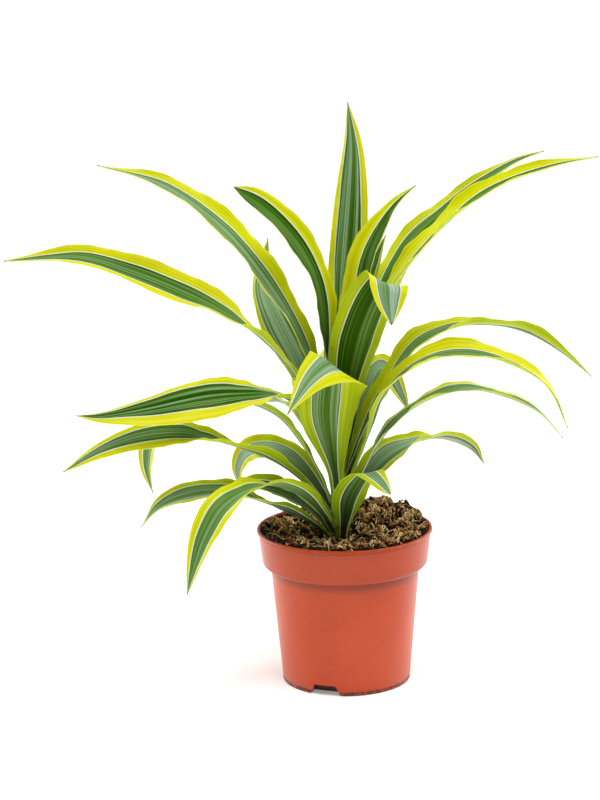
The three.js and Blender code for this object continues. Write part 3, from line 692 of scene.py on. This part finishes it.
def add_blade(row, order, materials):
    """A leaf's blade, closed along its four edges: its upper face and edges, then its under face."""
    upper, lower, reads = blade_grid(row, order)
    rows, columns = upper.shape[:2]
    under = rows * columns
    verts = np.concatenate([upper.reshape(-1, 3), lower.reshape(-1, 3)]) * MM
    faces, sides = [], []
    for i in range(rows - 1):
        for j in range(columns - 1):
            a = i * columns + j
            faces.append((a, a + 1, a + columns + 1, a + columns))
            faces.append((under + a, under + a + columns, under + a + columns + 1, under + a + 1))
            sides += [0, 1]
        a, b = i * columns, (i + 1) * columns - 1
        faces.append((a, a + columns, under + a + columns, under + a))
        faces.append((b, under + b, under + b + columns, b + columns))
        sides += [0, 0]
    last = (rows - 1) * columns
    for j in range(columns - 1):
        faces.append((j + 1, j, under + j, under + j + 1))
        tip = last + j
        faces.append((tip, tip + 1, under + tip + 1, under + tip))
        sides += [0, 0]
    attributes = {}
    for key, value in reads.items():
        both = value if isinstance(value, tuple) else (value, value)
        both = [np.broadcast_to(side, (rows, columns)).ravel() for side in both]
        attributes[key] = np.concatenate(both)
    piece = add_piece(row[0] + "_blade", verts, faces, materials, sides, attributes)
    piece.data.set_sharp_from_angle(angle=radians(60))
    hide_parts(row[0])
    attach(piece, "root")


# -------- pot

POT_SIDES = 192
POT_HEIGHT = 107
RIM_RADIUS = 60
COLLAR_DROP = 26
COLLAR_FOOT_RADIUS = 56.7
COLLAR_ROUND = 4
WAIST_RADIUS = 51
FOOT_RADIUS = 43.9
FOOT_BAND = 1.8
CREASE = {"depth": 0.4, "width": 0.9}
EDGE_ROUND = 0.6
POT_WALL = 1.3
LIP = {"height": 1.8, "overhang": 0.9}
NOTCH = {"count": 3, "azimuth": -110, "half_top": 7.5, "half_foot": 11.5, "height": 7.2, "depth": 10}
DRAIN_SLOT = {"length": 9, "width": 4, "inset": 5.5, "cut": 8}
BLOCK_FACES = [(3, 2, 1, 0), (4, 5, 6, 7), (0, 1, 5, 4), (1, 2, 6, 5), (2, 3, 7, 6), (3, 0, 4, 7)]
# The trimmed lip: how rough it is, how deep its nicks are and how few, and how its radius varies.
TRIM = {"rough": 0.14, "nick": 1.1, "few": 0.35, "sway": 0.0022}
COLLAR_FOOT = POT_HEIGHT - COLLAR_DROP


def collar_underside(inset):
    """The quarter round of the collar's underside, or of the wall's inside over it."""
    arc = []
    for degrees in range(0, 91, 10):
        turn = radians(degrees)
        out = (COLLAR_FOOT_RADIUS - WAIST_RADIUS) * sin(turn)
        rise = COLLAR_ROUND * (1 - cos(turn))
        arc.append((WAIST_RADIUS + out - inset, COLLAR_FOOT + rise + inset))
    return arc


def pot_profile():
    """The pot's wall, from the foot's middle up the outside and down the inside."""
    lip_top = POT_HEIGHT - EDGE_ROUND
    outside = [
        (FOOT_RADIUS - EDGE_ROUND, 0),
        (FOOT_RADIUS - EDGE_ROUND * 0.3, EDGE_ROUND * 0.3),
        (FOOT_RADIUS, EDGE_ROUND),
        (FOOT_RADIUS, FOOT_BAND),
        (FOOT_RADIUS - CREASE["depth"], FOOT_BAND + CREASE["width"] / 3),
        (FOOT_RADIUS, FOOT_BAND + CREASE["width"]),
    ]
    outside += collar_underside(0)
    outside += [
        (RIM_RADIUS - LIP["overhang"], POT_HEIGHT - LIP["height"] - CREASE["depth"]),
        (RIM_RADIUS, POT_HEIGHT - LIP["height"]),
        (RIM_RADIUS, lip_top),
        (RIM_RADIUS - EDGE_ROUND * 0.3, POT_HEIGHT - EDGE_ROUND * 0.3),
        (RIM_RADIUS - EDGE_ROUND, POT_HEIGHT),
    ]
    inside_rim = RIM_RADIUS - LIP["overhang"] - POT_WALL
    inside = [(inside_rim + EDGE_ROUND / 2, POT_HEIGHT), (inside_rim, lip_top)]
    inside += collar_underside(POT_WALL)[::-1]
    inside += [(FOOT_RADIUS - POT_WALL, 2 * POT_WALL), (FOOT_RADIUS - 2 * POT_WALL, POT_WALL)]
    return outside, inside


def pocket_block(azimuth, grow, start, end):
    """A drain pocket's trapezoid run out from the pot's middle, grown by one wall or nothing."""
    foot, top, high = NOTCH["half_foot"] + grow, NOTCH["half_top"] + grow, NOTCH["height"] + grow
    section = [(-foot, -1), (foot, -1), (top, high), (-top, high)]
    turn = Matrix.Rotation(radians(azimuth), 3, "Z")
    verts = [turn @ Vector((reach, y, z)) * MM for reach in (start, end) for y, z in section]
    return add_piece("pocket_block", verts, BLOCK_FACES, [])


def slot_block(azimuth):
    """The slot in a pocket's roof that lets the water out."""
    length, width, cut = (DRAIN_SLOT[key] / 2 for key in ("length", "width", "cut"))
    turn = Matrix.Rotation(radians(azimuth), 3, "Z")
    middle = Vector((FOOT_RADIUS - DRAIN_SLOT["inset"], 0, NOTCH["height"]))
    corners = [(-1, -1), (1, -1), (1, 1), (-1, 1)]
    corners = [Vector((x * width, y * length, z * cut)) for z in (-1, 1) for x, y in corners]
    verts = [turn @ (middle + corner) * MM for corner in corners]
    return add_piece("slot_block", verts, BLOCK_FACES, [])


def combine(piece, other, operation):
    """A boolean of piece and other, applied to piece's mesh. The other is removed."""
    modifier = piece.modifiers.new("combine", "BOOLEAN")
    modifier.object = other
    modifier.operation = operation
    modifier.solver = "MANIFOLD"
    graph = bpy.context.evaluated_depsgraph_get()
    mesh = bpy.data.meshes.new_from_object(piece.evaluated_get(graph))
    piece.modifiers.clear()
    piece.data = mesh
    bpy.data.objects.remove(other)


def nick_lip(mesh):
    """The trimmed lip is a little uneven, with small nicks along its top edge."""
    for vertex in mesh.vertices:
        if vertex.co.z < (POT_HEIGHT - LIP["height"] - 0.2) * MM:
            continue
        rough = noise.fractal(vertex.co * 190, 0.8, 2.0, 3)
        nick = max(0.0, noise.noise(vertex.co * 90 + Vector((7, 3, 1))) - TRIM["few"])
        vertex.co.z += (TRIM["rough"] * rough - TRIM["nick"] * nick) * MM
        out = 1 + TRIM["sway"] * noise.noise(vertex.co * 240)
        vertex.co.x *= out
        vertex.co.y *= out


def add_pot():
    outside, inside = pot_profile()
    plastic = satin_polypropylene()
    pot = add_piece("nursery_pot", *lathe([(0, 0), *outside, *inside, (0, POT_WALL)], POT_SIDES), [plastic])
    inner = FOOT_RADIUS - NOTCH["depth"]
    for i in range(NOTCH["count"]):
        azimuth = NOTCH["azimuth"] + 360 / NOTCH["count"] * i
        block = pocket_block(azimuth, POT_WALL, inner - POT_WALL, FOOT_RADIUS)
        body = add_piece("pot_body", *lathe([(0, 0), *outside, (0, POT_HEIGHT)], POT_SIDES), [])
        combine(block, body, "INTERSECT")
        combine(pot, block, "UNION")
        combine(pot, pocket_block(azimuth, 0, inner, RIM_RADIUS), "DIFFERENCE")
        combine(pot, slot_block(azimuth), "DIFFERENCE")
    nick_lip(pot.data)
    # The cutting blocks have no material, so the faces they leave are given the pot's.
    pot.data.materials.clear()
    pot.data.materials.append(plastic)
    pot.data.polygons.foreach_set("material_index", [0] * len(pot.data.polygons))
    pot.data.shade_smooth()
    pot.data.set_sharp_from_angle(angle=radians(38))
    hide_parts("pot")
    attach(pot, "root")


# -------- stem

SCAR_SPACING = 5.5
SCAR_HEIGHT = 0.35
STEM_SIDES = 40
STEM_FOOT = 72
STEM_ROUND = 1.4


def add_stem():
    """The stem, ringed where old leaves were. It keeps under its CAD radius between the rings."""
    profile = [(0, STEM_FOOT), (STEM["foot_radius"] - STEM_ROUND, STEM_FOOT)]
    for height in np.arange(STEM_FOOT + STEM_ROUND, STEM["top"] + 0.1, SCAR_SPACING / 4):
        ring = abs(sin(pi * height / SCAR_SPACING)) ** 0.5
        profile.append((stem_radius(height) - SCAR_HEIGHT * ring, height))
    profile += [(STEM["top_radius"] / 2, STEM["top"] + STEM_ROUND), (0, STEM["top"] + STEM_ROUND)]
    verts, faces = lathe(profile, STEM_SIDES)
    verts = [(x + STEM["x"] * MM, y + STEM["y"] * MM, z) for x, y, z in verts]
    stem = add_piece("ringed_stem", verts, faces, [green_stem_skin()])
    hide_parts("stem")
    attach(stem, "root")


# -------- potting mix

SOIL_LEVEL = 97
SOIL_RISE = 10
# The heap, then smaller mounds and hollows: middle, height, and spread across and to the back.
SOIL_MOUNDS = [
    (14, 24, 13, 30, 27),
    (33, 34, -4, 7, 8),
    (39, 20, 3.5, 9, 7),
    (20, 12, 3, 8, 7),
    (24, 45, 2.5, 6, 7),
    (44, 37, 3, 6, 7),
    (-42, 30, -3, 8, 9),
    (-34, 8, 2.5, 10, 8),
    (-14, -7, -2.5, 12, 10),
]
SOIL_LUMP = {"height": 1.1, "length": 17, "finer": 1.7, "finer_share": 0.6}
SOIL_RADIUS = 56.9
# The clods and hollows of its surface: size and height, or depth, and the deepest that shows.
CLOD = {"size": 6.5, "height": 2.8, "lift": 1.1}
HOLLOW = {"size": 9, "depth": 2, "deepest": -0.9}
# The mix is darker towards the front: by how much, from where, and over what length.
FRONT_DARKENING = {"darker": 0.08, "from": 5, "over": 40}
LAYER_DEPTH = 2.5
LAYER_RINGS = 110
LAYER_SIDES = 300
LAYER_TONE = -0.16
# Painted light and shade: how much lighter the mix is painted for each millimetre of relief, for the layer,
# crumbs and fibres.
LIT = {"layer": 0.08, "crumbs": 0.1, "fibres": 0.12}
CRUMBS = 2400
FIBRE_TUFTS = 620
FIBRE = {"length": (3, 10), "thick": (0.16, 0.48), "lift": (0.1, 0.9), "rest": (0, 0.9), "steps": 6}
TUFT = {"strands": (2, 7), "spread": 1.2, "fan": 0.4}
CHIPS = 30


def soil_top(x, y):
    """The mix's surface in millimetres: its level, its rise to the wall, and its mounds."""
    reach = hypot(x, y) / RIM_RADIUS
    mounds = 0
    for middle_x, middle_y, height, spread_x, spread_y in SOIL_MOUNDS:
        mounds += height * math.exp(-(((x - middle_x) / spread_x) ** 2) - ((y - middle_y) / spread_y) ** 2)
    turn = 2 * pi / SOIL_LUMP["length"]
    finer = SOIL_LUMP["finer_share"] * sin(turn * SOIL_LUMP["finer"] * (y - x))
    lumps = sin(turn * x) * sin(turn * y) + finer
    return SOIL_LEVEL + SOIL_RISE * reach * reach + mounds + SOIL_LUMP["height"] * lumps


def soil_relief(x, y):
    """How far the clods rise over the surface, or the hollows fall, in millimetres."""
    place = Vector((x, y, 0))
    clods = noise.fractal(place / CLOD["size"], 0.8, 2.1, 4)
    hollows = noise.turbulence(place / HOLLOW["size"], 3, False)
    return CLOD["lift"] + CLOD["height"] * clods - HOLLOW["depth"] * hollows


def soil_surface(x, y):
    return soil_top(x, y) + max(soil_relief(x, y), HOLLOW["deepest"])


def soil_tone(x, y, lit):
    """How light the mix is painted there: painted light and shade of that much a millimetre that its clods
    rise or its hollows fall, and darker towards the front.
    """
    front_darkening = FRONT_DARKENING["darker"] * float(smooth((-y - FRONT_DARKENING["from"]) / FRONT_DARKENING["over"]))
    return lit * soil_relief(x, y) - front_darkening


def soil_layer():
    """The top of the mix as a closed layer sunk into the ball below it."""
    verts, tones, faces = [], [], []
    rings = [SOIL_RADIUS * (i / LAYER_RINGS) ** 0.8 for i in range(1, LAYER_RINGS + 1)]
    for sunk in (False, True):
        for radius in [0.0] + rings:
            sides = LAYER_SIDES if radius else 1
            for k in range(sides):
                angle = 2 * pi * k / LAYER_SIDES
                x, y = radius * cos(angle), radius * sin(angle)
                z = soil_top(x, y) - LAYER_DEPTH if sunk else soil_surface(x, y)
                verts.append((x * MM, y * MM, z * MM))
                tones.append(soil_tone(x, y, LIT["layer"]) + LAYER_TONE)
    under = 1 + LAYER_SIDES * LAYER_RINGS
    for k in range(LAYER_SIDES):
        n = (k + 1) % LAYER_SIDES
        faces.append((0, 1 + k, 1 + n))
        faces.append((under, under + 1 + n, under + 1 + k))
        for i in range(LAYER_RINGS - 1):
            a, b = 1 + i * LAYER_SIDES, 1 + (i + 1) * LAYER_SIDES
            faces.append((a + k, b + k, b + n, a + n))
            faces.append((under + a + k, under + a + n, under + b + n, under + b + k))
        a = 1 + (LAYER_RINGS - 1) * LAYER_SIDES
        faces.append((a + k, under + a + k, under + a + n, a + n))
    return verts, faces, tones


def in_pot(rng, spare):
    """A random place on the mix, spare millimetres clear of the wall."""
    radius = (SOIL_RADIUS - spare) * sqrt(rng.random())
    angle = rng.uniform(0, 2 * pi)
    return radius * cos(angle), radius * sin(angle)


def crumb_shape():
    """A small round ball's points and faces, to be pressed into crumbs."""
    bpy.ops.mesh.primitive_ico_sphere_add(subdivisions=2, radius=1)
    ball = bpy.context.object
    points = np.array([vertex.co[:] for vertex in ball.data.vertices])
    faces = [tuple(polygon.vertices) for polygon in ball.data.polygons]
    bpy.data.objects.remove(ball)
    return points, faces


def add_crumbs(rng, count, sizes, flat, tone_range):
    """Crumbs of peat of those sizes, pressed out of round and half sunk in the surface. Flat is the
    least share of its size that a crumb stands high. Returns one joined mesh."""
    points, ball_faces = crumb_shape()
    verts, faces, tones = [], [], []
    for _ in range(count):
        size = rng.uniform(*sizes)
        x, y = in_pot(rng, size)
        scale = np.array([rng.uniform(0.7, 1.3), rng.uniform(0.7, 1.3), rng.uniform(flat, 1)]) * size
        turn = Matrix.Rotation(rng.uniform(0, 2 * pi), 3, Vector((rng.random(), rng.random(), 1)))
        shift = Vector((rng.uniform(-90, 90), rng.uniform(-90, 90), 0))
        dents = [1 + 0.45 * noise.noise(Vector(point) * 1.6 + shift) for point in points]
        shaped = (points * np.array(dents)[:, None] * scale) @ np.array(turn)
        centre = np.array([x, y, soil_surface(x, y) + size * rng.uniform(-0.2, 0.35)])
        base = len(verts)
        verts.extend(map(tuple, (shaped + centre) * MM))
        faces.extend(tuple(base + corner for corner in face) for face in ball_faces)
        tones.extend([rng.uniform(*tone_range) + soil_tone(x, y, LIT["crumbs"])] * len(points))
    return verts, faces, tones


def add_fibres(rng, tufts, tone_range):
    """Tufts of peat fibre: bent three-sided strands that lie close together on the surface."""
    verts, faces, tones = [], [], []
    strands = []
    for _ in range(tufts):
        x, y = in_pot(rng, 2)
        heading, bend = rng.uniform(0, 2 * pi), rng.uniform(-0.35, 0.35)
        tone = rng.uniform(*tone_range) + soil_tone(x, y, LIT["fibres"])
        for _ in range(rng.randint(*TUFT["strands"])):
            start = (x + rng.gauss(0, TUFT["spread"]), y + rng.gauss(0, TUFT["spread"]))
            turned = heading + rng.gauss(0, TUFT["fan"])
            strands.append((start, turned, bend, tone + rng.gauss(0, 0.05)))
    for (x, y), heading, bend, tone in strands:
        if hypot(x, y) > SOIL_RADIUS - 0.6:
            continue
        # A few stand well clear of the rest.
        lift = rng.uniform(*FIBRE["lift"]) * (2.5 if rng.random() < 0.06 else 1)
        length, rest, thick = (rng.uniform(*FIBRE[key]) for key in ("length", "rest", "thick"))
        steps, base = FIBRE["steps"], len(verts)
        for k in range(steps + 1):
            t = k / steps
            if hypot(x, y) > SOIL_RADIUS - 0.8:
                heading = math.atan2(-y, -x)
            rise = lift * sin(pi * t) * 1.6 + rest
            centre = Vector((x, y, soil_surface(x, y) + rise))
            along = Vector((cos(heading), sin(heading), 0))
            aside = Vector((-along.y, along.x, 0))
            radius = thick * (0.35 + 0.65 * sin(pi * (0.1 + 0.8 * t)))
            for corner in range(3):
                turn = 2 * pi * corner / 3 + heading
                offset = aside * cos(turn) * radius * 1.5 + Vector((0, 0, sin(turn) * radius))
                verts.append(tuple((centre + offset) * MM))
                tones.append(tone)
            x += along.x * length / steps
            y += along.y * length / steps
            heading += bend + rng.uniform(-0.25, 0.25)
        for k in range(steps):
            for corner in range(3):
                a, b = base + 3 * k + corner, base + 3 * k + (corner + 1) % 3
                faces.append((a, b, b + 3, a + 3))
        faces.append((base + 2, base + 1, base))
        end = base + 3 * steps
        faces.append((end, end + 1, end + 2))
    return verts, faces, tones


def joined(parts):
    """Several lists of vertices, faces and tones as one."""
    verts, faces, tones = [], [], []
    for part_verts, part_faces, part_tones in parts:
        base = len(verts)
        verts += part_verts
        faces += [tuple(base + corner for corner in face) for face in part_faces]
        tones += part_tones
    return verts, faces, tones


def add_soil():
    rng = random.Random(SEED)
    browns = [(0.43, "#080301"), (0.53, "#28160A"), (0.64, "#6E4820"), (0.78, "#B48A50")]
    peat = moist_peat("moist_peat", browns, scale_mm=3, roughness=0.95)
    tans = [(0.37, "#120804"), (0.46, "#7E4A1C"), (0.54, "#D08E4A"), (0.64, "#FFDEA6")]
    fibre = moist_peat("dry_peat_fibre", tans, scale_mm=4, roughness=0.85)
    chip = moist_peat("pale_chips", [(0.2, "#C9C2B4"), (0.6, "#F4F1EA")], scale_mm=2, roughness=0.8)
    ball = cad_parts["soil"]
    ball.data.materials.clear()
    ball.data.materials.append(peat)
    crumbs = add_crumbs(rng, CRUMBS, sizes=(0.4, 1.8), flat=0.6, tone_range=(-0.18, 0.08))
    crumbs = joined([soil_layer(), crumbs])
    fibres = add_fibres(rng, FIBRE_TUFTS, tone_range=(-0.3, 0.14))
    chips = add_crumbs(rng, CHIPS, sizes=(0.4, 0.8), flat=0.5, tone_range=(0, 0.3))
    for name, (verts, faces, tones), material in (
        ("peat_crumbs", crumbs, peat),
        ("peat_fibres", fibres, fibre),
        ("pale_chips", chips, chip),
    ):
        piece = add_piece(name, verts, faces, [material], attributes={"tone": tones})
        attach(piece, "root")


# -------- floor and light

# Metres, watts, and strengths.
FLOOR_HALF = 20
PAPER_GLOW = 0.24
SUN_STRENGTH = 2.35
SOFTBOX_WATTS = {"left": 10.5, "right": 9.5}
ROOM_STRENGTH = 0.5


def add_floor():
    corners = [(x * FLOOR_HALF, y * FLOOR_HALF, 0) for x, y in ((-1, -1), (1, -1), (1, 1), (-1, 1))]
    floor = add_piece("studio_floor", corners, [(0, 1, 2, 3)], [studio_paper()])


def add_lights():
    """Soft light from above, a softbox at each side, and an even pale room round them."""
    data = bpy.data.lights.new("overhead", "SUN")
    data.energy = SUN_STRENGTH
    data.angle = radians(40)
    linked("overhead", data).rotation_euler = (radians(16), radians(6), 0)
    for side, power in SOFTBOX_WATTS.items():
        data = bpy.data.lights.new("softbox_" + side, "AREA")
        data.shape = "RECTANGLE"
        data.size, data.size_y = 0.9, 1.2
        data.energy = power
        softbox = linked("softbox_" + side, data)
        place = Vector((-1 if side == "left" else 1, 0.5, 0.45))
        softbox.location = place
        softbox.rotation_euler = (Vector((0, 0, 0.15)) - place).to_track_quat("-Z", "Y").to_euler()
    # The room is white but for its dim side behind the camera.
    world = bpy.data.worlds.new("pale_room")
    world.use_nodes = True
    room = world.node_tree
    node = partial(add_node, room)
    way = node("TexCoord", out="Generated")
    way = node("SeparateXYZ", {"Vector": way}, out="Y")
    way = node("MapRange", {"Value": way, "From Min": -1.0, "From Max": 0.0})
    white = node("ValToRGB", {"Fac": way}, stops=[(0.1, "#3C3C3C"), (0.9, "#FFFFFF")])
    room.links.new(white, room.nodes["Background"].inputs["Color"])
    room.nodes["Background"].inputs["Strength"].default_value = ROOM_STRENGTH
    bpy.context.scene.world = world
    bpy.context.scene.view_settings.view_transform = "Standard"


add_camera()
add_floor()
add_lights()
add_pot()
add_soil()
add_stem()
blade_materials = leaf_materials()
for order, row in enumerate(LEAVES):
    add_blade(row, order, blade_materials)
